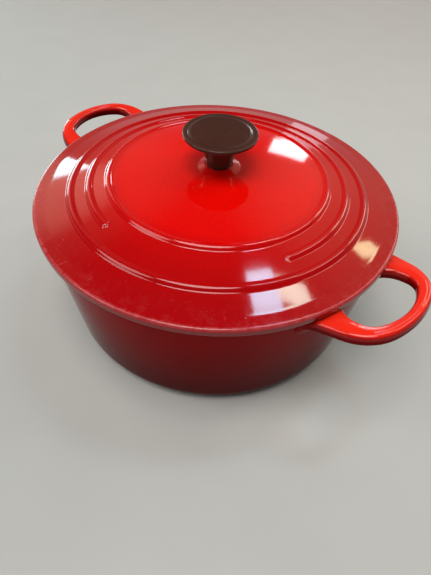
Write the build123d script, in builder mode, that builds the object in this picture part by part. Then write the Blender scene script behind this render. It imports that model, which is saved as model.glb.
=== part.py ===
import os
from math import cos, hypot, radians, sin, sqrt, tan

from build123d import *

os.makedirs("parts", exist_ok=True)

# Enamelled cast-iron pot with lid. Millimetres. The origin is the middle of the base, on the surface that the
# pot stands on. +Z is up and +X runs through the two handles.

# Pot
pot_height = 97.8            # floor to rim
pot_mouth_radius = 122.0     # outside of the wall at the rim
pot_taper = 11.0             # how far the wall draws in from the rim to the floor
pot_corner_radius = 15.0     # outside rounding from wall to base
pot_wall = 3.0               # iron, square to the wall
pot_base = 4.0               # iron under the cooking surface
rim_rounding = 0.7           # both edges of the rim
enamel = 0.4                 # inner coat of pot and lid
lining_drop = 2.0            # bare iron between the rim and the inner coat

# Handles, cast in one with the pot
handle_projection = 37.0     # wall at the rim to the handle's tip
handle_width = 74.0          # across the corners of the tip, before they are rounded
handle_flare = 10.5          # degrees, each side opens towards the wall
handle_bar = 7.8             # breadth of the bar at the tip
handle_thickness = 9.0
handle_drop = 1.2            # rim to the handle's top face at the wall
handle_tilt = 11.5           # degrees that the handle rises outwards
handle_end_radius = 65.0     # outline of the tip
handle_corner_radius = 30.0  # outline from the sides to the tip
handle_rounding = 3.4        # long edges of the bar
gap_width = 52.0             # finger gap, across
gap_end_radius = 40.0        # finger gap, outline of its outer end
gap_corner_share = 0.35      # finger gap, radius of its outer corners as a share of its reach
gap_root_share = 0.45        # finger gap, radius of its corners at the wall as a share of its reach
root_embed = 1.0             # how far the finger gap runs into the wall

# Lid
lid_overhang = 4.0           # beyond the pot's wall at the rim
lid_edge = 4.5               # height of the outer edge
lid_edge_rounding = 2.2      # upper edge
lid_lower_rounding = 1.2     # lower edge
lid_slope = 14.0             # degrees, flange and bands between the rings
lid_wall = 3.8               # iron, measured upright
dome_rise = 6.2              # inner ring to the middle of the dome
lip_depth = 5.0              # locating lip, below the rim
lip_thickness = 4.0
lip_clearance = 1.0          # lip to the pot's inner coat
boss_height = 1.9            # above the dome
boss_radius = 10.0           # flat top under the knob
boss_blend = 4.5             # sloping skirt around the boss
pad_radius = 10.0            # flat seat under the lid for the washer

# Raised rings on the lid: the radius of each crest, and one section for all
inner_ring_radius = 74.5
middle_ring_radius = 87.7
outer_ring_radius = 100.6
ring_width = 5.4
ring_height = 1.0
ring_gap_start = -97.8       # degrees, the middle ring is open from here
ring_gap_end = -17.2         # degrees, to here

# Knob
knob_height = 23.4
knob_radius = 24.5           # disc
knob_edge = 2.9              # thickness of the disc's edge
knob_edge_rounding = 1.1
knob_underside_rise = 3.2    # from the neck out to the disc's edge
neck_foot_radius = 8.6
neck_top_radius = 10.7
neck_blend = 3.0             # from the neck into the disc's underside
knob_panel_radius = 20.3     # raised panel on the disc
knob_panel_height = 0.35

# Fastening of the knob
screw_radius = 2.5
screw_head_radius = 5.6
screw_head_height = 3.2
screw_slot_width = 1.3
screw_slot_depth = 1.5
screw_engagement = 9.5       # length in the insert
screw_hole_clearance = 0.8   # screw to the lid's hole
thread_clearance = 0.05      # screw to the insert's bore
washer_clearance = 0.3       # screw to the washer's bore
washer_width = 2.0
washer_thickness = 1.2
washer_split = 1.0
insert_radius = 5.0
insert_length = 12.0
insert_groove_depth = 0.7
insert_groove_width = 3.0

# Worked out from the sizes above
pot_foot_radius = pot_mouth_radius - pot_taper
wall_lean = pot_taper / pot_height
wall_across = pot_wall * hypot(1, wall_lean)
handle_tip = pot_mouth_radius + handle_projection
lid_radius = pot_mouth_radius + lid_overhang
lid_fall = tan(radians(lid_slope))
screw_hole_radius = screw_radius + screw_hole_clearance
washer_radius = screw_radius + washer_clearance + washer_width


def outer_radius(z):
    """Outside of the pot's wall at height z, without the rounding at the base."""
    return pot_foot_radius + wall_lean * z


handle_low = pot_height - handle_drop - handle_thickness
handle_lean = handle_thickness * sin(radians(handle_tilt))
handle_start = pot_mouth_radius - handle_width
gap_start = outer_radius(handle_low) - handle_lean - root_embed
gap_tip = handle_tip - handle_bar
gap_reach = gap_tip - gap_start


def inner_radius(z, coat):
    """Inside of the pot's wall at height z, under an inner coat of that thickness."""
    return outer_radius(z) - wall_across - coat


def lid_top(r):
    """Height of the lid's sloping face at radius r, without its rings."""
    return pot_height + lid_edge + (lid_radius - r) * lid_fall


dome_edge = lid_top(inner_ring_radius)
dome_top = dome_edge + dome_rise
dome_curve = (inner_ring_radius**2 + dome_rise**2) / (2 * dome_rise)


def dome_height(r):
    """Height of the dome inside the inner ring at radius r."""
    return dome_top - dome_curve + sqrt(dome_curve**2 - r**2)


boss_top = dome_top + boss_height
lip_bottom = pot_height - lip_depth
lip_radius = inner_radius(lip_bottom, enamel) - lip_clearance
hollow_radius = lip_radius - lip_thickness
pad_height = dome_height(pad_radius) - lid_wall


def corner(builder, x, y):
    """The vertex of a sketch that lies nearest to a point."""
    return builder.vertices().sort_by_distance((x, y))[0]


# Pot
def cavity_face(coat, top):
    """Half section of the pot's inside, under an inner coat, up to a height."""
    floor = pot_base + coat
    floor_radius = inner_radius(floor, coat)
    with BuildSketch(Plane.XZ) as section:
        with BuildLine():
            Polyline((0, floor), (floor_radius, floor), (inner_radius(top, coat), top), (0, top), close=True)
        make_face()
        fillet(corner(section, floor_radius, floor), pot_corner_radius - pot_wall - coat)
    return section.sketch


def loop_outline(start, tip, half_width, end_radius, flare):
    """Closed outline of a loop: straight sides that open towards the wall, and a bowed end."""
    bow = end_radius - sqrt(end_radius**2 - half_width**2)
    start_half = half_width + (tip - bow - start) * tan(radians(flare))
    Line((start, -start_half), (tip - bow, -half_width))
    ThreePointArc((tip - bow, -half_width), (tip, 0), (tip - bow, half_width))
    Line((tip - bow, half_width), (start, start_half))
    Line((start, start_half), (start, -start_half))


def handle_face():
    """Plan of one handle with its finger gap, seen square to its top face."""
    with BuildSketch() as gap:
        with BuildLine():
            loop_outline(gap_start, gap_tip, gap_width / 2, gap_end_radius, 0)
        make_face()
        fillet(gap.vertices().group_by(Axis.X)[-1], gap_corner_share * gap_reach)
        fillet(gap.vertices().group_by(Axis.X)[0], gap_root_share * gap_reach)
    with BuildSketch() as plan:
        with BuildLine():
            loop_outline(handle_start, handle_tip, handle_width / 2, handle_end_radius, handle_flare)
        make_face()
        fillet(plan.vertices().group_by(Axis.X)[-1], handle_corner_radius)
        add(gap.sketch, mode=Mode.SUBTRACT)
    return plan.sketch


handle_slant = Plane(
    origin=(pot_mouth_radius, 0, pot_height - handle_drop),
    x_dir=(cos(radians(handle_tilt)), 0, sin(radians(handle_tilt))),
    z_dir=(-sin(radians(handle_tilt)), 0, cos(radians(handle_tilt))),
)

with BuildPart() as handle:
    with BuildSketch(handle_slant):
        with Locations((-pot_mouth_radius, 0)):
            add(handle_face())
    extrude(amount=-handle_thickness)
    flat_faces = handle.faces().sort_by(Axis(handle_slant.origin, handle_slant.z_dir))
    long_edges = [face.edges().sort_by(Axis.X)[1:] for face in (flat_faces[0], flat_faces[-1])]
    fillet(long_edges[0] + long_edges[1], handle_rounding)
    # The handle ends halfway through the pot's wall
    add(cavity_face(-pot_wall / 2, pot_height))
    revolve(axis=Axis.Z, mode=Mode.SUBTRACT)

with BuildPart() as pot:
    mouth_inside = inner_radius(pot_height, 0)
    floor_inside = inner_radius(pot_base, 0)
    with BuildSketch(Plane.XZ) as wall_section:
        with BuildLine():
            Polyline(
                (0, 0),
                (pot_foot_radius, 0),
                (pot_mouth_radius, pot_height),
                (mouth_inside, pot_height),
                (floor_inside, pot_base),
                (0, pot_base),
                close=True,
            )
        make_face()
        fillet(corner(wall_section, pot_foot_radius, 0), pot_corner_radius)
        fillet(corner(wall_section, floor_inside, pot_base), pot_corner_radius - pot_wall)
        fillet(corner(wall_section, pot_mouth_radius, pot_height), rim_rounding)
        fillet(corner(wall_section, mouth_inside, pot_height), rim_rounding)
    revolve(axis=Axis.Z)
    with PolarLocations(0, 2):
        add(handle.part)
pot.part.label = "pot"
export_step(pot.part, "parts/pot.step")

with BuildPart() as pot_lining:
    add(cavity_face(0, pot_height - lining_drop))
    revolve(axis=Axis.Z)
    add(cavity_face(enamel, pot_height - lining_drop))
    revolve(axis=Axis.Z, mode=Mode.SUBTRACT)
pot_lining.part.label = "pot_lining"
export_step(pot_lining.part, "parts/pot_lining.step")


# Lid
def hollow_face(coat):
    """Half section of the space under the lid, inside its locating lip, under an inner coat."""
    edge = hollow_radius - coat
    with BuildSketch(Plane.XZ) as section:
        with BuildLine():
            Line((0, lip_bottom), (edge, lip_bottom))
            Line((edge, lip_bottom), (edge, lid_top(edge) - lid_wall - coat))
            Line((edge, lid_top(edge) - lid_wall - coat), (inner_ring_radius, dome_edge - lid_wall - coat))
            middle = (inner_ring_radius + pad_radius) / 2
            ThreePointArc(
                (inner_ring_radius, dome_edge - lid_wall - coat),
                (middle, dome_height(middle) - lid_wall - coat),
                (pad_radius, pad_height - coat),
            )
            Line((pad_radius, pad_height - coat), (0, pad_height - coat))
            Line((0, pad_height - coat), (0, lip_bottom))
        make_face()
    return section.sketch


ring_curve = (ring_width**2 / 4 + ring_height**2) / (2 * ring_height)
ring_sink = ring_curve - ring_height


def ring_centre(crest_radius):
    """Middle of a ring's round section, sunk square to the lid's face under its crest."""
    slope = radians(lid_slope)
    return (crest_radius - ring_sink * sin(slope), lid_top(crest_radius) - ring_sink * cos(slope))


def upright_plane(angle):
    """Upright plane through the pot's axis, turned about it by degrees."""
    turn = radians(angle)
    return Plane(origin=(0, 0, 0), x_dir=(cos(turn), sin(turn), 0), z_dir=(sin(turn), -cos(turn), 0))


with BuildPart() as lid:
    skirt_radius = boss_radius + boss_blend
    with BuildSketch(Plane.XZ) as lid_section:
        with BuildLine():
            Line((0, lip_bottom), (lip_radius, lip_bottom))
            Line((lip_radius, lip_bottom), (lip_radius, pot_height))
            Line((lip_radius, pot_height), (lid_radius, pot_height))
            Line((lid_radius, pot_height), (lid_radius, lid_top(lid_radius)))
            Line((lid_radius, lid_top(lid_radius)), (inner_ring_radius, dome_edge))
            middle = (inner_ring_radius + skirt_radius) / 2
            ThreePointArc(
                (inner_ring_radius, dome_edge),
                (middle, dome_height(middle)),
                (skirt_radius, dome_height(skirt_radius)),
            )
            Line((skirt_radius, dome_height(skirt_radius)), (boss_radius, boss_top))
            Line((boss_radius, boss_top), (0, boss_top))
            Line((0, boss_top), (0, lip_bottom))
        make_face()
        fillet(corner(lid_section, lid_radius, lid_top(lid_radius)), lid_edge_rounding)
        fillet(corner(lid_section, lid_radius, pot_height), lid_lower_rounding)
        fillet(corner(lid_section, skirt_radius, dome_height(skirt_radius)), 2 * boss_blend)
        fillet(corner(lid_section, boss_radius, boss_top), boss_blend / 4)
    revolve(axis=Axis.Z)
    for crest_radius in (inner_ring_radius, outer_ring_radius):
        with BuildSketch(Plane.XZ):
            with Locations(ring_centre(crest_radius)):
                Circle(ring_curve)
        revolve(axis=Axis.Z)
    with BuildSketch(upright_plane(ring_gap_end)):
        with Locations(ring_centre(middle_ring_radius)):
            Circle(ring_curve)
    revolve(axis=Axis.Z, revolution_arc=360 + ring_gap_start - ring_gap_end)
    for angle in (ring_gap_start, ring_gap_end):
        with Locations(upright_plane(angle).from_local_coords(ring_centre(middle_ring_radius))):
            Sphere(ring_curve)
    add(hollow_face(0))
    revolve(axis=Axis.Z, mode=Mode.SUBTRACT)
    with Locations((0, 0, boss_top)):
        Hole(screw_hole_radius)
lid.part.label = "lid"
export_step(lid.part, "parts/lid.step")

with BuildPart() as lid_lining:
    add(hollow_face(0))
    revolve(axis=Axis.Z)
    add(hollow_face(enamel))
    revolve(axis=Axis.Z, mode=Mode.SUBTRACT)
    with Locations((0, 0, pad_height)):
        Hole(screw_hole_radius)
lid_lining.part.label = "lid_lining"
export_step(lid_lining.part, "parts/lid_lining.step")


# Knob and its fastening
def insert_face(bore):
    """Half section of the insert: a sleeve with a groove that keys it into the knob."""
    groove_low = boss_top + (insert_length - insert_groove_width) / 2
    groove_high = groove_low + insert_groove_width
    groove_radius = insert_radius - insert_groove_depth
    top = boss_top + insert_length
    with BuildSketch(Plane.XZ) as section:
        with BuildLine():
            Polyline(
                (bore, boss_top),
                (insert_radius, boss_top),
                (insert_radius, groove_low),
                (groove_radius, groove_low),
                (groove_radius, groove_high),
                (insert_radius, groove_high),
                (insert_radius, top),
                (bore, top),
                close=True,
            )
        make_face()
    return section.sketch


with BuildPart() as knob:
    knob_top = boss_top + knob_height
    disc_top = knob_top - knob_panel_height
    disc_low = disc_top - knob_edge
    neck_top = disc_low - knob_underside_rise
    with BuildSketch(Plane.XZ) as knob_section:
        with BuildLine():
            Polyline(
                (0, boss_top),
                (neck_foot_radius, boss_top),
                (neck_top_radius, neck_top),
                (knob_radius, disc_low),
                (knob_radius, disc_top),
                (knob_panel_radius, disc_top),
                (knob_panel_radius, knob_top),
                (0, knob_top),
                close=True,
            )
        make_face()
        fillet(corner(knob_section, neck_top_radius, neck_top), neck_blend)
        fillet(corner(knob_section, knob_radius, disc_low), knob_edge_rounding)
        fillet(corner(knob_section, knob_radius, disc_top), knob_edge_rounding)
    revolve(axis=Axis.Z)
    add(insert_face(0))
    revolve(axis=Axis.Z, mode=Mode.SUBTRACT)
knob.part.label = "knob"
export_step(knob.part, "parts/knob.step")

with BuildPart() as knob_insert:
    add(insert_face(screw_radius + thread_clearance))
    revolve(axis=Axis.Z)
knob_insert.part.label = "knob_insert"
export_step(knob_insert.part, "parts/knob_insert.step")

washer_seat = pad_height - enamel
with BuildPart() as lock_washer:
    with BuildSketch(Plane.XY.offset(washer_seat)):
        Circle(washer_radius)
        Circle(screw_radius + washer_clearance, mode=Mode.SUBTRACT)
        Rectangle(washer_radius, washer_split, align=(Align.MIN, Align.CENTER), mode=Mode.SUBTRACT)
    extrude(amount=-washer_thickness)
lock_washer.part.label = "lock_washer"
export_step(lock_washer.part, "parts/lock_washer.step")

head_seat = washer_seat - washer_thickness
with BuildPart() as knob_screw:
    with BuildSketch(Plane.XY.offset(head_seat)):
        Circle(screw_radius)
    extrude(amount=boss_top + screw_engagement - head_seat)
    with BuildSketch(Plane.XY.offset(head_seat)):
        Circle(screw_head_radius)
    extrude(amount=-screw_head_height)
    fillet(knob_screw.faces().sort_by(Axis.Z)[0].edges(), screw_head_height / 2)
    with BuildSketch(Plane.XY.offset(head_seat - screw_head_height)):
        Rectangle(3 * screw_head_radius, screw_slot_width)
        Rectangle(screw_slot_width, 3 * screw_head_radius)
    extrude(amount=screw_slot_depth, mode=Mode.SUBTRACT)
knob_screw.part.label = "knob_screw"
export_step(knob_screw.part, "parts/knob_screw.step")
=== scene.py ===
# %% [markdown]
# # A lidded pot of enamelled cast iron
# The solids of the pot are already drawn in a CAD program, and their imported model is the fixed frame of this
# scene. Here the pot gets its looks: smooth cast surfaces, glossy red enamel that darkens towards its edges, with
# some painted light and shade on the pot's wall, its handles and the lid's outer side, a sand-coloured inside and a
# dark moulded knob. Every new piece rides on a body of the frame, so it still moves.

import bpy
import numpy as np
from mathutils import Matrix, Vector


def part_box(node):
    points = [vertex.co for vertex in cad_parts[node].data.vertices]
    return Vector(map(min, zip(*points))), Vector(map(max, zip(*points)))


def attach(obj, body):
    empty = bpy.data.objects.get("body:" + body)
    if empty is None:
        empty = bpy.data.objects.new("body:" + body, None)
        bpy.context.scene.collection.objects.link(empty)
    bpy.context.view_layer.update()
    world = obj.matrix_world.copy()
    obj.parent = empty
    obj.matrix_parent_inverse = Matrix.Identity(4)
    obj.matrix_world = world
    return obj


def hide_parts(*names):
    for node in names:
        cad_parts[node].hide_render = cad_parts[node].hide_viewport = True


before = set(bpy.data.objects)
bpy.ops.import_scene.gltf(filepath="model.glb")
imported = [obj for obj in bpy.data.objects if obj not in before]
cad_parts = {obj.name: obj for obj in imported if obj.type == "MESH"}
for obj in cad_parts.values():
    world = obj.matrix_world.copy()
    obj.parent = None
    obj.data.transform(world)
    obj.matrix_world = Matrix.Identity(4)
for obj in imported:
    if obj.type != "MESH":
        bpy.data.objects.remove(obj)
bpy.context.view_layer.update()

# %% [markdown]
# ## The sizes of the pot
# Blender counts in metres, but a maker of pots thinks in millimetres. All sizes below are in millimetres, and one
# helper at the end of each shape turns them into metres. Apart from finer rings and a finer knob they are the sizes
# of the CAD solids, so that each surface lies on the solid that it stands for. The frame itself gives a few of them
# to check against.

# %% Sizes in millimetres
millimetre = 0.001
rim_height, mouth_radius, foot_radius = 97.8, 122.0, 111.0
wall_thickness, base_thickness, inner_coat = 3.0, 4.0, 0.4
lid_radius, lid_edge, lid_wall = 126.0, 4.5, 3.8
lid_fall = np.tan(np.radians(14.0))
dome_radius, dome_rise, boss_rise = 74.5, 6.2, 1.9
ring_radii, ring_width, ring_height = (74.5, 87.7, 100.6), 5.4, 1.4
ring_gap = (-97.8, -17.2)  # in degrees: the middle ring is open between these angles
knob_height, knob_radius = 23.4, 24.5

wall_lean = (mouth_radius - foot_radius) / rim_height
wall_across = wall_thickness * np.hypot(1, wall_lean)
lid_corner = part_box("lid")[1]
print("lid in the frame:", round(2000 * lid_corner.x, 1), "mm across; here:", 2 * lid_radius, "mm")

# %% [markdown]
# ## The camera
# The photograph was taken by hand, close to the pot, from above one handle's side, and a little rolled. The camera
# is placed by its own three directions: to the right, up, and back towards the viewer. They become the columns
# of its matrix. The focal length is 450 pixels for a picture 575 pixels high, scaled to a 36 mm sensor.

# %% Camera at the photograph's angle
right, up, back = (0.71195, 0.70107, 0.04039), (-0.53983, 0.50961, 0.66999), (0.44912, -0.49880, 0.74127)
camera_place = (0.18037, -0.19634, 0.29243)
focal_pixels, picture_height, sensor = 450, 575, 36
lens = bpy.data.cameras.new("photo_camera")
lens.lens, lens.sensor_width, lens.clip_start = focal_pixels / picture_height * sensor, sensor, 0.01
camera = bpy.data.objects.new("photo_camera", lens)
bpy.context.collection.objects.link(camera)
turned_to = Matrix((right, up, back)).transposed().to_4x4()
camera.matrix_world = Matrix.Translation(camera_place) @ turned_to
bpy.context.scene.camera = camera
print("camera", round(1000 * camera.location.length), "mm from the middle of the base")

# %% [markdown]
# ## Light for a glossy surface
# Glossy enamel is mostly seen by what it mirrors. So bright panes stand where the photograph's highlights point to:
# to the left of the pot, behind it, and to its right. Those called low or side show only in the steep flanks of the
# raised rings, as fine lines. The plain light comes from two broad soft lights, one above the viewer and one to the
# left, from where the lid's broad faces don't mirror them. They are Sun lamps with a wide disc, because an area lamp
# would light the floor near the pot more than the rest of it.

# %% Two kinds of light
light_distance, mirror_height = 1.6, 0.108
pane_spread, plain_tint = np.radians(60), (1.0, 0.985, 0.96)


def light_from(name, kind, azimuth, elevation, spot, tint, roll=0.0):
    """A light of a kind, at the light's distance from a spot in a direction given in degrees, facing the spot."""
    a, e = np.radians([azimuth, elevation])
    towards = Vector((np.cos(a) * np.cos(e), np.sin(a) * np.cos(e), np.sin(e)))
    facing = towards.to_track_quat("Z", "Y").to_matrix() @ Matrix.Rotation(np.radians(roll), 3, "Z")
    light = bpy.data.lights.new(name, kind)
    light.color = tint
    holder = bpy.data.objects.new(name, light)
    holder.location, holder.rotation_euler = Vector(spot) + towards * light_distance, facing.to_euler()
    bpy.context.collection.objects.link(holder)
    return light


def plain_light(name, azimuth, elevation, disc, radiance):
    """A far disc of light, so many degrees across. It lights by radiance x pi x sin(disc / 2) squared."""
    light = light_from(name, "SUN", azimuth, elevation, (0, 0, mirror_height), plain_tint)
    light.angle = np.radians(disc)
    light.energy = radiance * np.pi * np.sin(light.angle / 2)**2
    print(name, "gives", round(light.energy, 2), "W on a square metre")


def pane(name, mirrored_at, azimuth, elevation, width, height, radiance, tint, roll=0.0):
    """A bright rectangle, seen from the point of the lid that mirrors it, which is given by its radius in mm and its
    angle. It shines within a narrow spread, so that it doesn't light the floor before it. Its power follows from how
    bright it looks: radiance x pi x area x (1 - s / tan(s)), where s is half of the spread."""
    r, turn = mirrored_at[0] * millimetre, np.radians(mirrored_at[1])
    spot = (r * np.cos(turn), r * np.sin(turn), mirror_height)
    light = light_from(name, "AREA", azimuth, elevation, spot, tint, roll)
    light.shape, light.size, light.size_y, light.spread = "RECTANGLE", width, height, pane_spread
    half_spread = pane_spread / 2
    light.energy = radiance * np.pi * width * height * (1 - half_spread / np.tan(half_spread))
    print(name, "has", round(light.energy, 2), "W")


print("a pane shines within", round(np.degrees(pane_spread)), "degrees")

# %% The lights themselves
# A pane's numbers: the mirroring point, azimuth, elevation, width and height in metres, radiance, tint and roll.
plain_light("plain_above", -74, 77, 34, 6.2)
plain_light("plain_left", -125, 45, 34, 3.0)
pane("window_left", (111, -139), 166.5, 10.2, 0.23, 0.52, 12.0, (0.50, 0.92, 1.0))
pane("window_left_low", (102, -128), 176.5, 7.0, 0.32, 0.42, 7.0, (0.80, 0.95, 1.0))
pane("window_behind", (58, 79), 117.6, 19, 0.24, 0.25, 9.5, (0.90, 0.97, 1.0))
pane("window_behind_low", (100, 88), 117, 4.5, 0.22, 0.25, 1.4, (0.9, 0.92, 1.0))
pane("window_high", (110, -31), 93, 69.4, 0.17, 0.22, 20.3, (0.43, 0.77, 1.0), -33)
pane("window_high_warm", (110, -24.5), 83, 63.1, 0.10, 0.22, 15.6, (0.82, 1.0, 0.84), -33)
pane("window_high_side", (84, -8), 62, 50, 0.22, 0.73, 6.0, (1.0, 0.95, 0.90), 33)
pane("window_right", (111, 9), 85.5, 37.8, 0.085, 0.17, 10.3, (0.93, 1.0, 0.56))
pane("window_right_low", (84, 25), 81, 25, 0.22, 0.76, 6.0, (1.0, 0.92, 0.82), 36)
bpy.context.scene.view_settings.view_transform = "Standard"

# %% [markdown]
# ## From arrays to meshes
# Most of the pot is round, so most pieces are a section turned about the upright axis. A grid of points is worked
# out in one go as a numpy array, with one row for each point of the section and one column for each angle. The
# faces are index arithmetic on the same grid. Where a section starts or ends on the axis, one point closes it.

# %% A grid of points becomes a piece
def piece_from(name, points, faces):
    """A smooth mesh from points in millimetres and faces, with its object left at the origin."""
    mesh = bpy.data.meshes.new(name)
    mesh.from_pydata((np.asarray(points) * millimetre).tolist(), [], faces)
    mesh.shade_smooth()
    mesh.update()
    piece = bpy.data.objects.new(name, mesh)
    bpy.context.collection.objects.link(piece)
    print(name, len(mesh.vertices), "points", len(mesh.polygons), "faces")
    return piece


def band_faces(rows, columns, closed_rows):
    """Four-cornered faces of a grid whose columns go all the way round, and whose rows may do so too."""
    row = np.arange(rows if closed_rows else rows - 1)[:, None]
    column = np.arange(columns)[None, :]
    next_row, next_column = (row + 1) % rows, (column + 1) % columns
    corners = (row * columns + column, row * columns + next_column,
               next_row * columns + next_column, next_row * columns + column)
    return np.stack(np.broadcast_arrays(*corners), -1).reshape(-1, 4).tolist()


def turned(name, section, angles, poles=False, lift=None):
    """A section of (radius, height) points turned about the axis: x = r cos a, y = r sin a, z = height, plus a
    lift that may vary with radius and angle. With poles, single points on the axis close both ends."""
    r, z = section[:, 0][:, None], section[:, 1][:, None]
    z = z + (0 if lift is None else lift(section, angles))
    grid = np.stack(np.broadcast_arrays(r * np.cos(angles), r * np.sin(angles), z), -1)
    rows, columns = grid.shape[:2]
    points, faces = grid.reshape(-1, 3), band_faces(rows, columns, not poles)
    if poles:
        first, last = np.arange(columns), np.arange(columns) + (rows - 1) * columns
        ends = rows * columns, rows * columns + 1
        faces += np.stack([np.roll(first, -1), first, np.full(columns, ends[0])], -1).tolist()
        faces += np.stack([last, np.roll(last, -1), np.full(columns, ends[1])], -1).tolist()
        points = np.vstack([points, (0, 0, z[0].mean()), (0, 0, z[-1].mean())])
    return piece_from(name, points, faces)


round_columns = 240
round_angles = np.linspace(0, 2 * np.pi, round_columns, endpoint=False)
print("round pieces have", round_columns, "columns,", 360 / round_columns, "degrees apart")

# %% [markdown]
# ## Sections with rounded corners
# No edge of a casting is sharp, and under enamel even less so: a rounded edge is what catches a line of light.
# A section is drawn as a few corners with a radius each. A Bevel modifier could round the edges of the finished
# mesh, but in the section the radius is exact. The points are then spread so that bends get more of them.

# %% Rounded sections
def rounded(corners, radii, steps=16):
    """A closed line through corners, each corner replaced by the arc that touches both of its sides. The arc's
    centre lies on the bisector, radius / cos(turn / 2) from the corner, and the arc is swept evenly."""
    p, radius = np.array(corners, float), np.array(radii, float)[:, None]
    to_last, to_next = np.roll(p, 1, 0) - p, np.roll(p, -1, 0) - p
    to_last /= np.linalg.norm(to_last, axis=1, keepdims=True)
    to_next /= np.linalg.norm(to_next, axis=1, keepdims=True)
    turn = np.pi - np.arccos(np.clip((to_last * to_next).sum(1, keepdims=True), -1, 1))
    middle = (to_last + to_next) / np.linalg.norm(to_last + to_next, axis=1, keepdims=True)
    centre = p + middle * radius / np.cos(turn / 2)
    setback = radius * np.tan(turn / 2)
    arm_in, arm_out = p + to_last * setback - centre, p + to_next * setback - centre
    t = np.linspace(0, 1, steps)[None, :, None]
    w = turn[:, :, None]
    swept = (np.sin((1 - t) * w) * arm_in[:, None] + np.sin(t * w) * arm_out[:, None]) / np.sin(w)
    return (centre[:, None] + swept).reshape(-1, 2)


def spread(line, step, bend_step=8.0, detail=None, loop=False):
    """Points along a line, spaced evenly in length / step + bend / bend_step (degrees), so that roundings keep
    their shape. Where detail(points) is above 1 the points stand that much closer."""
    line = np.vstack([line, line[:1]]) if loop else line
    line = line[np.r_[True, np.linalg.norm(np.diff(line, axis=0), axis=1) > 1e-6]]
    along = np.r_[0, np.cumsum(np.linalg.norm(np.diff(line, axis=0), axis=1))]
    fine = np.union1d(along, np.arange(0, along[-1], 0.25))
    line = np.stack([np.interp(fine, along, line[:, 0]), np.interp(fine, along, line[:, 1])], -1)
    run = np.diff(line, axis=0)
    heading = np.unwrap(np.arctan2(run[:, 1], run[:, 0]))
    bend = np.degrees(np.abs(np.diff(heading)))
    share = np.linalg.norm(run, axis=1) / step
    if detail is not None:
        share = share * detail((line[1:] + line[:-1]) / 2)
    share[1:] += bend / bend_step / 2
    share[:-1] += bend / bend_step / 2
    measure = np.r_[0, np.cumsum(share)]
    even = np.linspace(0, measure[-1], int(np.ceil(measure[-1])) + 1)
    even = even[:-1] if loop else even
    return np.stack([np.interp(even, measure, line[:, 0]), np.interp(even, measure, line[:, 1])], -1)


test_line = spread(rounded([(0, 0), (10, 0), (10, 10), (0, 10)], [2] * 4), 1.0)
print("a 10 mm square with 2 mm corners takes", len(test_line), "points")

# %% [markdown]
# ## The pot
# The pot is one casting: a flat base, a large rounding, and a wall that opens a little towards the rim. Its section
# runs from the middle of the base, out and up the wall, over the rounded rim, and back down the inside. Turned
# about the axis it is a closed shell. A lathe-like Screw modifier would do the same, but leaves no exact array.

# %% Pot wall
def wall_outside(height):
    """Outside radius of the wall: the foot's radius plus the lean times the height."""
    return foot_radius + wall_lean * height


near_axis, point_step = 1, 2.5
foot_rounding, rim_rounding, floor_rounding = 15, 0.7, 12
mouth_inside = mouth_radius - wall_across
floor_inside = wall_outside(base_thickness) - wall_across
pot_corners = [(near_axis, 0), (foot_radius, 0), (mouth_radius, rim_height), (mouth_inside, rim_height),
               (floor_inside, base_thickness), (near_axis, base_thickness)]
pot_radii = [0, foot_rounding, rim_rounding, rim_rounding, floor_rounding, 0]
pot_section = spread(rounded(pot_corners, pot_radii), point_step)
pot_wall = turned("pot_wall", pot_section, round_angles, poles=True)

# %% [markdown]
# ## The inner enamel of the pot
# Inside, the iron has a pale coat of enamel that is smoother than the metal and ends just below the rim. It is a
# thin shell: its back lies inside the iron, so no gap can show, and its top edge is softly rounded, as a
# glaze is where it was wiped off before firing.

# %% Pot inside
coat_top, coat_back = rim_height - 2.0, 0.2
back_rounding, face_rounding = 0.05, 0.35


def coat_corners(depth):
    """Floor edge and top edge of a surface that lies a depth in front of the iron's inner face."""
    heights = np.array([base_thickness + depth, coat_top])
    return np.stack([wall_outside(heights) - wall_across - depth, heights], -1)


(back_floor, back_top), (face_floor, face_top) = coat_corners(-coat_back), coat_corners(inner_coat)
coat_line = [(near_axis, back_floor[1]), back_floor, back_top, face_top, face_floor, (near_axis, face_floor[1])]
coat_radii = [0, floor_rounding + coat_back, back_rounding, face_rounding, floor_rounding - inner_coat, 0]
coat_section = spread(rounded(coat_line, coat_radii), point_step)
pot_inside = turned("pot_inside", coat_section, round_angles, poles=True)

# %% [markdown]
# ## The two handles
# Each handle is a flat loop that is cast on the wall and rises a little outwards. Seen square to its face it has two
# outlines: the outside, with sides that open towards the wall and a bowed end, and the finger gap. A straight side
# meets a bowed end in a round corner, which is a circle that touches both. Rays from a point near the wall then cut
# the loop into sections, and each section is a rounded rectangle from one outline to the other.

# %% Outlines of a handle
def loop_outline(tip, half_width, end_radius, flare, corner_radius, side_end):
    """Upper half of a loop's outline, from the middle of its tip to the wall: the end's arc, the corner's arc, and a
    straight side. The corner's centre is corner_radius inside the side and end_radius - corner_radius from
    the end's centre."""
    end_centre = np.array([tip - end_radius, 0])
    corner = end_centre + (np.sqrt(end_radius**2 - half_width**2), half_width)
    side = np.array([-np.cos(flare), np.sin(flare)])
    inward = np.array([-np.sin(flare), -np.cos(flare)])
    start = corner + corner_radius * inward - end_centre
    ahead = start @ side
    reach = -ahead - np.sqrt(ahead**2 - start @ start + (end_radius - corner_radius)**2)
    centre = end_centre + start + reach * side
    touch = np.arctan2(*(centre - end_centre)[::-1])
    end_turn = np.linspace(0, touch, 60)[:, None]
    corner_turn = np.linspace(touch, np.pi / 2 - flare, 60)[1:, None]
    end_arc = end_centre + end_radius * np.hstack([np.cos(end_turn), np.sin(end_turn)])
    corner_arc = centre + corner_radius * np.hstack([np.cos(corner_turn), np.sin(corner_turn)])
    run = np.linspace(0, (corner_arc[-1, 0] - side_end) / np.cos(flare), 60)[1:, None]
    return np.vstack([end_arc, corner_arc, corner_arc[-1] + run * side])


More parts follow.
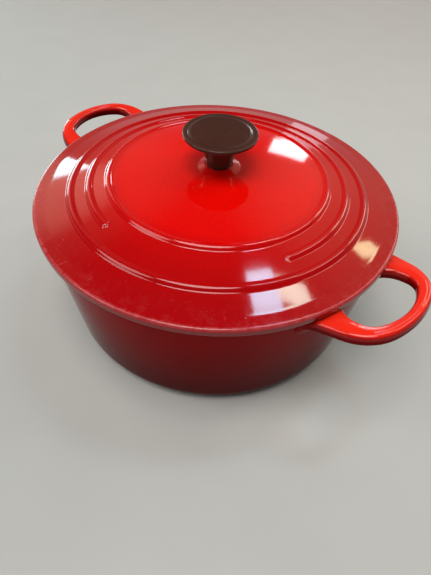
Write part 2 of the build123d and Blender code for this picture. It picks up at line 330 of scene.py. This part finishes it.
root_radius, gap_start = 14.9, 118.06
outside_line = loop_outline(tip=158.95, half_width=37.0, end_radius=65.0, flare=np.radians(10.5),
                            corner_radius=30.0, side_end=60.0)
gap_line = loop_outline(tip=151.2, half_width=26.0, end_radius=40.0, flare=0.0,
                        corner_radius=11.6, side_end=gap_start + root_radius)
root_turn = np.linspace(0, np.pi / 2, 40)[1:, None]
root_arc = gap_line[-1] + root_radius * np.hstack([-np.sin(root_turn), np.cos(root_turn) - 1])
gap_line = np.vstack([gap_line, root_arc, (gap_start, 0)])
print("handle tip", outside_line[0], "mm, finger gap to", gap_line[0], "mm")

# %% Sections of a handle
ray_start, handle_rounding, half_thickness = 124.0, 3.4, 4.5


def reach_along(line, angle):
    """Distance from the ray's start to an outline, looked up by the ray's angle."""
    x, y = line[:, 0] - ray_start, line[:, 1]
    return np.interp(np.abs(angle), np.arctan2(y, x), np.hypot(x, y))


arc_points = 9
arc = np.linspace(0, np.pi / 2, arc_points)
flat = np.linspace(1, -1, arc_points)[1:-1]
corner, side = np.ones_like(arc), np.ones_like(flat)
section_turn = np.concatenate([np.r_[arc, np.pi / 2 * side] + k * np.pi / 2 for k in range(4)])
push_across = np.concatenate([corner, flat, -corner, -side, -corner, -flat, corner, side])
push_up = np.concatenate([corner, side, corner, flat, -corner, -side, -corner, -flat])

last_ray, ray_count, crowding = np.radians(116), 181, 1.3
ray = last_ray * np.tanh(crowding * np.linspace(-1, 1, ray_count)) / np.tanh(crowding)
near, far = reach_along(gap_line, ray), reach_along(outside_line, ray)
print("bar of the handle", round((far - near).min(), 1), "to", round((far - near).max(), 1), "mm broad")

# %% Handle pieces
tilt, handle_drop, crown = np.radians(11.5), 1.2, 0.35
fillet_outside, fillet_gap, fillet_above, fillet_below = 6.0, 2.5, 1.0, 4.0


def root_fillet(gap_to_wall, radius):
    """How far a surface swells near the wall: the fillet radius - sqrt(radius^2 - (radius - distance)^2)."""
    left = radius - np.clip(gap_to_wall, 0, radius)
    return radius - np.sqrt(np.maximum(radius**2 - left**2, 0))


def handle_points():
    """Points of the handle towards +X: ray by ray, a rounded rectangle between the two outlines, with a slight crown,
    tilted upwards, swollen into a fillet at the wall, and ended halfway through the wall. The second round of
    the fillet measures from the surface that the first one made."""
    stretch = [np.hypot(1, np.gradient(np.log(reach), ray))[:, None] for reach in (near, far)]
    ax, az = np.cos(section_turn), np.sin(section_turn)
    rounding = handle_rounding * np.where(push_across > 0, stretch[1], stretch[0])
    half, centre = (far - near)[:, None] / 2, (far + near)[:, None] / 2
    rounding = np.minimum(rounding, 0.8 * half)
    across = centre + push_across * (half - rounding) + rounding * ax
    upward = push_up * (half_thickness - handle_rounding) + handle_rounding * az
    upward = upward - crown * az * push_across**2 - half_thickness
    swell = np.zeros_like(across)
    for _ in range(2):
        a, u = across + swell * ax, upward + swell * az
        plan_x, plan_y = ray_start + a * np.cos(ray)[:, None] - mouth_radius, a * np.sin(ray)[:, None]
        x = mouth_radius + plan_x * np.cos(tilt) - u * np.sin(tilt)
        z = rim_height - handle_drop + plan_x * np.sin(tilt) + u * np.cos(tilt)
        fillet = (np.where(ax > 0, fillet_outside, fillet_gap) * ax**2
                  + np.where(az > 0, fillet_above, fillet_below) * az**2)
        swell = root_fillet(np.hypot(x, plan_y) - wall_outside(z), fillet)
    scale = np.maximum(1, (wall_outside(z) - wall_thickness / 2) / np.hypot(x, plan_y))
    return np.stack([x * scale, plan_y * scale, z], -1)


grid = handle_points()
rows, columns = grid.shape[:2]
handle_faces = [face[::-1] for face in band_faces(rows, columns, False)]
handle_faces += [list(range(columns)), list(range(rows * columns - 1, (rows - 1) * columns - 1, -1))]
handle_right = piece_from("handle_right", grid.reshape(-1, 3), handle_faces)
handle_left = piece_from("handle_left", grid.reshape(-1, 3) * (-1, -1, 1), handle_faces)

# %% [markdown]
# ## The lid
# The lid is a shallow cone with a dome in its middle. Three raised rings run round it, and the middle ring is open
# at the front. Under the lid a lip keeps it on the pot. The section goes from the screw hole out along the underside,
# round the lip and the edge, and back over the top. The rings are added as a lift that depends on radius and angle.
# That way the ends of the open ring can be round, which a turned section alone can't give.

# %% Lid section
def lid_top(radius):
    """Height of the sloping face: the edge's height plus the fall times the distance from the edge."""
    return rim_height + lid_edge + (lid_radius - radius) * lid_fall


dome_edge = lid_top(dome_radius)
dome_top = dome_edge + dome_rise
dome_curve = (dome_radius**2 + dome_rise**2) / (2 * dome_rise)
boss_top = dome_top + boss_rise


def dome(radius):
    """Height of the dome: a sphere's cap through the inner ring."""
    return dome_top - dome_curve + np.sqrt(dome_curve**2 - np.asarray(radius)**2)


lip_low, lip_radius, lip_thickness, hole_radius = 92.8, 117.02, 4.0, 3.3
band_radius, band_fall = 117.3, np.tan(np.radians(8.5))
boss_radius, boss_foot, dome_end, dome_points = 10.0, 14.5, 17.0, 60
band_edge = lid_top(band_radius) - (lid_radius - band_radius) * band_fall
hollow_radius = lip_radius - lip_thickness
hollow_edge = lid_top(hollow_radius) - lid_wall
pad_height = dome(boss_radius) - lid_wall
under = np.linspace(boss_radius, dome_radius, dome_points)
over = np.linspace(dome_radius, dome_end, dome_points)
lid_loop = [(hole_radius, pad_height), *zip(under, dome(under) - lid_wall), (hollow_radius, hollow_edge),
            (hollow_radius, lip_low), (lip_radius, lip_low), (lip_radius, rim_height), (lid_radius, rim_height),
            (lid_radius, band_edge), (band_radius, lid_top(band_radius)), *zip(over, dome(over)),
            (boss_foot, dome(boss_foot)), (boss_radius, boss_top), (hole_radius, boss_top)]
dome_radii = [0] * dome_points
lid_radii = [0.2, *dome_radii, 2.0, 0.8, 0.8, 0.6, 1.2, 1.8, 9.0, *dome_radii, 2.0, 1.1, 0.3]


def on_top(section):
    """Which points of the section lie on the lid's upper face."""
    return section[:, 1] > lid_top(section[:, 0]) - 1


def ring_zone(points, middle=87.5, half_width=18, closeness=3.2):
    """Points stand three times closer on the top between the innermost and outermost ring."""
    return np.where(on_top(points) & (np.abs(points[:, 0] - middle) < half_width), closeness, 1.0)


lid_step = 2.0
lid_section = spread(rounded(lid_loop, lid_radii), lid_step, detail=ring_zone, loop=True)
print("lid", round(band_edge, 1), "mm high at its edge,", round(boss_top, 1), "on the boss,",
      len(lid_section), "points in the section")

# %% Raised rings and the lid
ring_curve = (ring_width**2 / 4 + ring_height**2) / (2 * ring_height)
ring_shift, ring_ease, ring_depth, wave_height = 0.2, 0.012, 2.5, 0.04
slope_cos = np.cos(np.arctan(lid_fall))


def ring_lift(section, angles):
    """How far the rings stand up. Across a ring the height is a circle's cap, sqrt(curve^2 - d^2) - (curve - height),
    eased into the face by a soft maximum. Inside the middle ring's opening, d also counts the way along the
    ring to its nearest end, which makes the end round. A faint waviness is what casting leaves."""
    r = section[:, 0][:, None]
    start, end = np.radians(ring_gap)
    a = (angles - start) % (2 * np.pi)
    beyond = np.maximum(np.minimum(a, end - start - a), 0) * ring_radii[1]
    lift = np.zeros((len(section), len(angles)))
    for radius, past_end in zip(ring_radii, (0, beyond, 0)):
        d = np.hypot((r - radius - ring_shift) / slope_cos, past_end)
        cap = np.sqrt(np.maximum(ring_curve**2 - d**2, 0)) - (ring_curve - ring_height)
        lift = lift + (cap + np.sqrt(cap**2 + ring_ease)) / 2 * (cap > -ring_depth)
    waviness = wave_height * np.sin(3 * angles + 0.05 * r) * np.sin(r / 14)
    off_knob_and_edge = np.clip((r - 30) / 20, 0, 1) * np.clip((120 - r) / 10, 0, 1)
    return np.where(on_top(section)[:, None], lift / slope_cos + waviness * off_knob_and_edge, 0)


def closer_at(places, count, factor, width):
    """Angles round the circle that stand closer near some places: even steps of a density summed up."""
    fine = np.linspace(0, 2 * np.pi, 20001)
    density = np.ones_like(fine)
    for place in np.radians(places):
        density += factor * np.exp(-(np.angle(np.exp(1j * (fine - place))) / np.radians(width))**2)
    summed = np.r_[0, np.cumsum((density[1:] + density[:-1]) / 2)]
    return np.interp(np.linspace(0, summed[-1], count + 1)[:-1], summed, fine)


lid_angles = closer_at(ring_gap, count=300, factor=4.0, width=2.4)
lid_shell = turned("lid_shell", lid_section, lid_angles, lift=ring_lift)

# %% [markdown]
# ## The inner enamel of the lid
# The lid is coated inside like the pot, up to the lip that sits in the pot's mouth. This is again a thin shell with
# its back inside the iron. Its section follows the underside outwards, goes down the lip, and comes back.

# %% Lid inside
coat_edge, coat_behind, coat_low = hollow_radius - inner_coat, hollow_radius + coat_back, lip_low + 0.4
lid_coat_loop = [(hole_radius, pad_height - inner_coat), *zip(under, dome(under) - lid_wall - inner_coat),
                 (coat_edge, lid_top(coat_edge) - lid_wall - inner_coat), (coat_edge, coat_low),
                 (coat_behind, coat_low), (coat_behind, hollow_edge + coat_back),
                 *zip(under[::-1], dome(under[::-1]) - lid_wall + coat_back), (hole_radius, pad_height + coat_back)]
lid_coat_radii = [0.15, *dome_radii, 1.6, 0.2, 0.05, 1.0, *dome_radii, 0.05]
lid_coat_section = spread(rounded(lid_coat_loop, lid_coat_radii), point_step, loop=True)
lid_inside = turned("lid_inside", lid_coat_section, round_angles)

# %% [markdown]
# ## The knob
# The knob is moulded in dark phenolic plastic: a neck that widens upwards, a thin wide disc, and a low raised panel
# on top with a fine groove round it. A section with its radii gives all of that. The hollow from below takes the
# brass insert, which stays a CAD solid.

# %% Knob
panel_height, disc_edge, disc_fall, neck_drop = 0.35, 2.2, 0.1, 6.1
neck_foot_radius, neck_top_radius, panel_radius = 8.7, 12.1, 19.3
groove_radii, groove_depth = (21.2, 20.9, 20.7), 0.15
insert_radius, insert_depth, knob_axis, knob_step = 5.0, 12, 0.5, 0.8
knob_top, insert_top = boss_top + knob_height, boss_top + insert_depth
disc_top = knob_top - panel_height
groove_floor, disc_low, neck_top = disc_top - groove_depth, disc_top - disc_edge, disc_top - neck_drop
knob_line = [(knob_axis, insert_top), (insert_radius, insert_top), (insert_radius, boss_top),
             (neck_foot_radius, boss_top), (neck_top_radius, neck_top), (knob_radius, disc_low),
             (knob_radius, disc_top - disc_fall), (groove_radii[0], disc_top), (groove_radii[1], groove_floor),
             (groove_radii[2], groove_floor), (panel_radius, knob_top), (knob_axis, knob_top)]
knob_radii = [0, 0.1, 0.1, 0.25, 3.0, 0.7, 0.5, 0.12, 0.1, 0.1, 0.5, 0]
knob_section = spread(rounded(knob_line, knob_radii), knob_step)
knob_body = turned("knob_body", knob_section, round_angles[::2], poles=True)

# %% [markdown]
# ## Writing materials as sums
# A finish is a network of nodes. Wired by hand in Python it takes many lines and hides the idea. A small class wraps
# a node's output, and its plus, minus and times add Math nodes, so a finish reads like a formula. All other nodes
# come from one method. Patterns are placed by Object coordinates, in millimetres, so they stay on the piece.

# %% A field of values, and a finish made of fields
class Field:
    """An output of a node, with arithmetic: each operator adds a Math node to the same finish."""

    def __init__(self, finish, socket):
        self.finish, self.socket = finish, socket

    def math(self, operation, first, second=0.0):
        """One Math node of the given operation."""
        return self.finish.node("ShaderNodeMath", {"operation": operation}, {0: first, 1: second})

    def __add__(self, other):
        return self.math("ADD", self, other)

    def __sub__(self, other):
        return self.math("SUBTRACT", self, other)

    def __rsub__(self, other):
        return self.math("SUBTRACT", other, self)

    def __mul__(self, other):
        return self.math("MULTIPLY", self, other)

    def __truediv__(self, other):
        return self.math("DIVIDE", self, other)

    def __pow__(self, other):
        return self.math("POWER", self, other)

    def __abs__(self):
        return self.math("ABSOLUTE", self)

    def larger(self, other):
        """The larger one of two fields."""
        return self.math("MAXIMUM", self, other)

    def step(self, low, high):
        """0 below low, 1 above high, and an even ease between them. With low above high it falls."""
        ends = {0: self, 1: low, 2: high} if low < high else {0: self, 1: high, 2: low, 3: 1.0, 4: 0.0}
        return self.finish.node("ShaderNodeMapRange", {"interpolation_type": "SMOOTHSTEP"}, ends)

    __radd__, __rmul__ = __add__, __mul__


class Network:
    """The nodes of a material or of the world, and the ways to add to them."""

    def __init__(self, owner, shader, coordinates):
        owner.use_nodes = True
        self.owner, self.tree = owner, owner.node_tree
        self.shader = self.tree.nodes[shader]
        given = self.node("ShaderNodeTexCoord", {}, {}, coordinates)
        self.axes = [self.node("ShaderNodeSeparateXYZ", {}, {0: given}, axis) for axis in "XYZ"]

    def node(self, kind, settings, inputs, output=0):
        """Any node: its settings first, then the values or links of its sockets. Gives one output as a field. A
        colour ramp starts with two stops, and further ones are added."""
        made = self.tree.nodes.new(kind)
        for setting, value in settings.items():
            if setting == "stops":
                elements = made.color_ramp.elements
                for k, (position, colour) in enumerate(value):
                    stop = elements[k] if k < 2 else elements.new(position)
                    stop.position, stop.color = position, colour
            else:
                setattr(made, setting, value)
        for socket, value in inputs.items():
            if isinstance(value, Field):
                self.tree.links.new(value.socket, made.inputs[socket])
            else:
                made.inputs[socket].default_value = value
        return Field(self, made.outputs[output])

    def point(self, x, y, z):
        """A place made of three fields or numbers."""
        return self.node("ShaderNodeCombineXYZ", {}, {0: x, 1: y, 2: z})

    def noise(self, place, scale, detail=2.0, roughness=0.5):
        """Cloudy values round one half."""
        inputs = {"Vector": place, "Scale": scale, "Detail": detail, "Roughness": roughness}
        return self.node("ShaderNodeTexNoise", {}, inputs)

    def mix(self, amount, first, second):
        """The first colour where amount is 0, the second where it is 1."""
        return self.node("ShaderNodeMix", {"data_type": "RGBA"}, {0: amount, 6: first, 7: second}, 2)

    def ramp(self, value, *stops):
        """Colours along a value from 0 to 1."""
        return self.node("ShaderNodeValToRGB", {"stops": stops}, {0: value})

    def relief(self, height):
        """A bump whose height is in millimetres."""
        return self.node("ShaderNodeBump", {}, {"Strength": 1.0, "Distance": millimetre, "Height": height})

    def feed(self, **fields):
        """Links fields to the shader's sockets, and gives the material or the world back."""
        for socket, field in fields.items():
            self.tree.links.new(field.socket, self.shader.inputs[socket.replace("_", " ")])
        print(self.owner.name, len(self.tree.nodes), "nodes")
        return self.owner


class Finish(Network):
    """A material in the making. Constants go on the shader's own sockets, and fields are linked."""

    def __init__(self, name, **constants):
        super().__init__(bpy.data.materials.new(name), "Principled BSDF", "Object")
        self.x, self.y, self.z = [axis * 1000.0 for axis in self.axes]
        self.radius = (self.x * self.x + self.y * self.y) ** 0.5
        self.place = self.point(self.x, self.y, self.z)
        for socket, value in constants.items():
            self.shader.inputs[socket.replace("_", " ")].default_value = value

    def round_place(self, along, across):
        """A place for patterns that run in circles: the direction from the axis and the radius, each scaled."""
        return self.point(self.x / self.radius * along, self.y / self.radius * along, self.radius * across)


def paint(red, green, blue):
    """A colour read off as 0 to 255 on the screen, turned into the linear value that Blender counts in."""
    c = np.array([red, green, blue]) / 255
    return (*np.where(c < 0.04045, c / 12.92, ((c + 0.055) / 1.055) ** 2.4).tolist(), 1.0)


print("a screen red of 235 is", round(paint(235, 0, 0)[0], 3), "in linear light")

# %% [markdown]
# ## The room
# The back of the lid mirrors the room at a low angle, so a black world would leave it dead. The world is dim above
# and paler towards the horizon. It has a broad warm glow on the right and on the left, and a small bright one beside
# the left window. It is a smooth field of the direction that a ray takes, which a Background node turns into light,
# so no edge of it shows.

# %% World
room = Network(bpy.data.worlds.new("room"), "Background", "Generated")


def nearness(azimuth, elevation):
    """The cosine of the angle between a ray and a direction given in degrees: 1 where they are the same."""
    a, e = np.radians([azimuth, elevation])
    x, y, z = room.axes
    return x * (np.cos(a) * np.cos(e)) + y * (np.sin(a) * np.cos(e)) + z * np.sin(e)


def glow(behind, azimuth, elevation, start, full, colour):
    """A soft spot over what lies behind it, from the nearness where it starts to the one where it is full."""
    return room.mix(nearness(azimuth, elevation).step(start, full), behind, colour)


dim_above, pale_horizon = (0.06, 0.06, 0.061, 1), (0.42, 0.41, 0.40, 1)
walls = room.mix(room.axes[2].step(0.40, 0.0), dim_above, pale_horizon)
right_glow = glow(walls, 92, 33, 0.83, 0.985, (0.54, 0.45, 0.35, 1))
left_glow = glow(right_glow, 165, 28, 0.88, 0.98, (0.34, 0.25, 0.20, 1))
all_glows = glow(left_glow, 174, 25, 0.962, 0.997, (1.5, 1.05, 0.82, 1))
bpy.context.scene.world = room.feed(Color=all_glows)

# %% [markdown]
# ## Red enamel
# The enamel is glass, fired on in layers. It is bright orange red in the middle of the lid and is sprayed darker
# towards the edges, so its colour follows the radius on the lid. On the pot it follows the height: darker towards the
# foot, partly the enamel's own spray and partly painted shade. The handles are lighter on top and darker below,
# partly their own tone and partly painted light and painted shade, and the lid's outer side carries painted shade.
# Glass is smooth, but never flat: a slow waviness bends the reflections, and a fine one blurs them a little. The
# floor here is paler than the photograph's, and would turn the pot's wall grey, so the wall's mirror is weak. A clear
# coat gives the top of the handles its shine.

# %% What all red enamel shares
enamel_ior, bare_iron = 1.52, paint(30, 26, 26)


def enamel_finish(name, mirror):
    """A glossy finish with the waviness of fired enamel as a height in millimetres."""
    made = Finish(name, IOR=enamel_ior, Specular_IOR_Level=mirror)
    slow = made.noise(made.place, 0.035, 1.0)
    fine = made.noise(made.place, 0.30, 2.0)
    made.wavy = slow * 0.05 + fine * 0.0035
    made.cloud = made.noise(made.place, 0.06, 3.0)
    made.specks = made.noise(made.place, 0.9, 2.0)
    return made


print("enamel bends light as glass does, by", enamel_ior)

# %% Enamel of the lid
lid_red = enamel_finish("lid_red_enamel", mirror=0.5)
radius, height = lid_red.radius, lid_red.z
sprayed = lid_red.ramp((radius + lid_red.cloud * 8.0 - 4.0) / lid_radius,
                       (0.0, paint(242, 12, 3)), (0.52, paint(235, 5, 2)), (0.62, paint(204, 4, 4)),
                       (0.80, paint(185, 2, 5)), (0.97, paint(173, 3, 10)))
speckled = lid_red.mix(lid_red.specks.step(0.45, 0.75) * 0.25, sprayed, paint(150, 4, 6))
# Painted shade: the lid's outer side, below the rounding of its top, is darkened to a deeper red, as if in shade.
painted_edge_shade = height.step(102.2, 100.8) * radius.step(122.0, 124.0)
red_with_painted_edge_shade = lid_red.mix(painted_edge_shade, speckled, paint(132, 5, 9))
print("the lid's red has", len(lid_red.tree.nodes), "nodes before its wear")

# %% Wear of the lid
streaks = lid_red.noise(lid_red.round_place(60.0, 0.25), 0.55, 2.0, 0.6)
edge = radius.step(122.4, 124.6) * height.step(101.6, 102.8)
worn_edge = (edge * 0.75 + streaks * 0.9 - 0.45).step(0.36, 0.95) * 0.6
dashes = lid_red.noise(lid_red.round_place(80.0, 0.16), 1.0, 1.0).step(0.62, 0.76) * radius.step(104.0, 120.0)
dust = lid_red.noise(lid_red.place, 0.75, 1.0).step(0.68, 0.78) * lid_red.cloud.step(0.38, 0.60)
haze = lid_red.noise(lid_red.place, 0.16, 4.0, 0.7).step(0.46, 0.72) * radius.step(108.0, 124.0)
scuffs = dust * radius.step(92.0, 116.0) * 0.45 + haze * (0.14 + dashes * 0.55)
worn = worn_edge.larger(scuffs * height.step(101.2, 102.4))
seat = height.step(98.7, 98.2) * radius.step(124.8, 124.2)
boss = radius.step(19.0, 15.0)
rubbed_red = lid_red.mix(worn, red_with_painted_edge_shade, paint(202, 80, 84))
lid_red_enamel = lid_red.feed(
    Base_Color=lid_red.mix(seat, rubbed_red, bare_iron),
    Roughness=0.05 + lid_red.specks * 0.04 + boss * 0.08 + worn * 0.25 + seat * 0.4,
    Normal=lid_red.relief(lid_red.wavy + worn * 0.02))

# %% Enamel of the pot and its handles
pot_red = enamel_finish("pot_red_enamel", mirror=0.025)
radius, height = pot_red.radius, pot_red.z
# The wall's red darkens towards the foot and stays darker than the lid: partly the enamel's own spray, partly painted
# shade.
wall = pot_red.ramp((height + pot_red.cloud * 14.0 - 7.0) / 98.0,
                    (0.0, paint(64, 1, 3)), (0.35, paint(98, 1, 3)), (0.75, paint(132, 2, 4)),
                    (1.0, paint(152, 3, 6)))
handle_root = rim_height - handle_drop
depth = (height - handle_root) * np.cos(tilt) - (abs(pot_red.x) - mouth_radius) * np.sin(tilt)
# The handles are lighter on their top faces and darker down their sides: partly the enamel's own tone, partly painted
# light and painted shade.
bar = pot_red.ramp((depth + pot_red.cloud * 1.2 + 8.4) / 9.0,
                   (0.0, paint(96, 4, 6)), (0.50, paint(120, 5, 8)), (0.76, paint(156, 11, 11)),
                   (0.93, paint(248, 44, 26)))
wall_or_bar_painted_light_and_shade = pot_red.mix(radius.step(122.2, 125.0), wall, bar)
rim = height.step(96.9, 97.4) * radius.step(122.6, 122.2)
pot_red_enamel = pot_red.feed(
    Base_Color=pot_red.mix(rim, wall_or_bar_painted_light_and_shade, bare_iron),
    Roughness=0.04 + pot_red.specks * 0.05 + rim * 0.4,
    Coat_Weight=radius.step(122.6, 127.0) * depth.step(-5.0, -2.0) * 0.75,
    Normal=pot_red.relief(pot_red.wavy))

# %% [markdown]
# ## Sand enamel, phenolic, brass and steel
# The inside has a pale sand-coloured enamel with fine darker specks, which come from the iron below. The knob's
# plastic is a dark brown with a satin moulded skin, a little rubbed along the top of its rim. The insert, the screw
# and its washer are CAD solids, and get turned brass and zinc-bright steel, with fine lathe lines round the axis.

# %% Sand enamel
sand = Finish("sand_enamel", IOR=enamel_ior)
specks = sand.noise(sand.place, 1.4, 1.0).step(0.68, 0.76)
stain = sand.noise(sand.place, 0.025, 3.0).step(0.45, 0.75)
stained = sand.mix(stain, paint(222, 210, 184), paint(214, 200, 172))
sand_enamel = sand.feed(Base_Color=sand.mix(specks * 0.45, stained, paint(150, 124, 92)),
                        Roughness=0.14 + stain * 0.10,
                        Normal=sand.relief(sand.noise(sand.place, 0.2, 2.0) * 0.012))

# %% Dark phenolic
phenolic = Finish("dark_phenolic", IOR=1.5, Specular_IOR_Level=0.4)
skin = phenolic.noise(phenolic.place, 3.5, 3.0)
cloud = phenolic.noise(phenolic.place, 0.12, 2.0)
rubbed = phenolic.radius.step(22.6, 24.2) * phenolic.z.step(145.4, 146.0)
brown = phenolic.mix(cloud, paint(62, 32, 23), paint(74, 41, 31))
dark_phenolic = phenolic.feed(Base_Color=phenolic.mix(rubbed * skin * 0.20, brown, paint(140, 112, 104)),
                              Roughness=0.14 + skin * 0.12 - rubbed * 0.06,
                              Normal=phenolic.relief(skin * 0.012))

# %% Brass and steel
def turned_metal(name, bright, dull):
    """A metal with fine rings from turning, and a little tarnish."""
    made = Finish(name, Metallic=1.0)
    rings = made.noise(made.point(made.radius * 6.0, made.z * 6.0, 0.0), 1.0, 2.0)
    tarnish = made.noise(made.place, 0.35, 3.0)
    return made.feed(Base_Color=made.mix(tarnish, bright, dull), Roughness=0.18 + rings * 0.22,
                     Normal=made.relief(rings * 0.01))


turned_brass = turned_metal("turned_brass", paint(214, 178, 104), paint(170, 132, 70))
bright_steel = turned_metal("bright_steel", paint(206, 208, 210), paint(158, 158, 156))

# %% [markdown]
# ## Putting it together
# Each piece gets its finish, hides the CAD node that it stands for, and rides on its body: the pot stays, and the lid
# lifts with its knob. The fastening stays as CAD solids, which only get a finish. The floor is a plain pale
# sheet that isn't part of the object.

# %% Finishes and bodies
def fit(piece, finish, body, node):
    """Gives a piece its finish and the body that it moves with, and hides the CAD node that it stands for."""
    piece.data.materials.append(finish)
    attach(piece, body)
    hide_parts(node)


fit(pot_wall, pot_red_enamel, "pot", "pot")
fit(handle_right, pot_red_enamel, "pot", "pot")
fit(handle_left, pot_red_enamel, "pot", "pot")
fit(pot_inside, sand_enamel, "pot", "pot_lining")
fit(lid_shell, lid_red_enamel, "lid", "lid")
fit(lid_inside, sand_enamel, "lid", "lid_lining")
fit(knob_body, dark_phenolic, "lid", "knob")
for node, finish in (("knob_insert", turned_brass), ("knob_screw", bright_steel), ("lock_washer", bright_steel)):
    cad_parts[node].data.materials.clear()
    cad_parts[node].data.materials.append(finish)

# %% Floor
reach = 40
floor_mesh = bpy.data.meshes.new("floor")
floor_corners = [(-reach, -reach, 0), (reach, -reach, 0), (reach, reach, 0), (-reach, reach, 0)]
floor_mesh.from_pydata(floor_corners, [], [(0, 1, 2, 3)])
floor = bpy.data.objects.new("floor", floor_mesh)
bpy.context.collection.objects.link(floor)
pale = Finish("pale_floor", Roughness=0.9)
grain = pale.noise(pale.place, 0.02, 3.0)
floor_mesh.materials.append(pale.feed(Base_Color=pale.mix(grain, paint(187, 186, 182), paint(194, 193, 189))))
print("floor", 2 * reach, "m across")
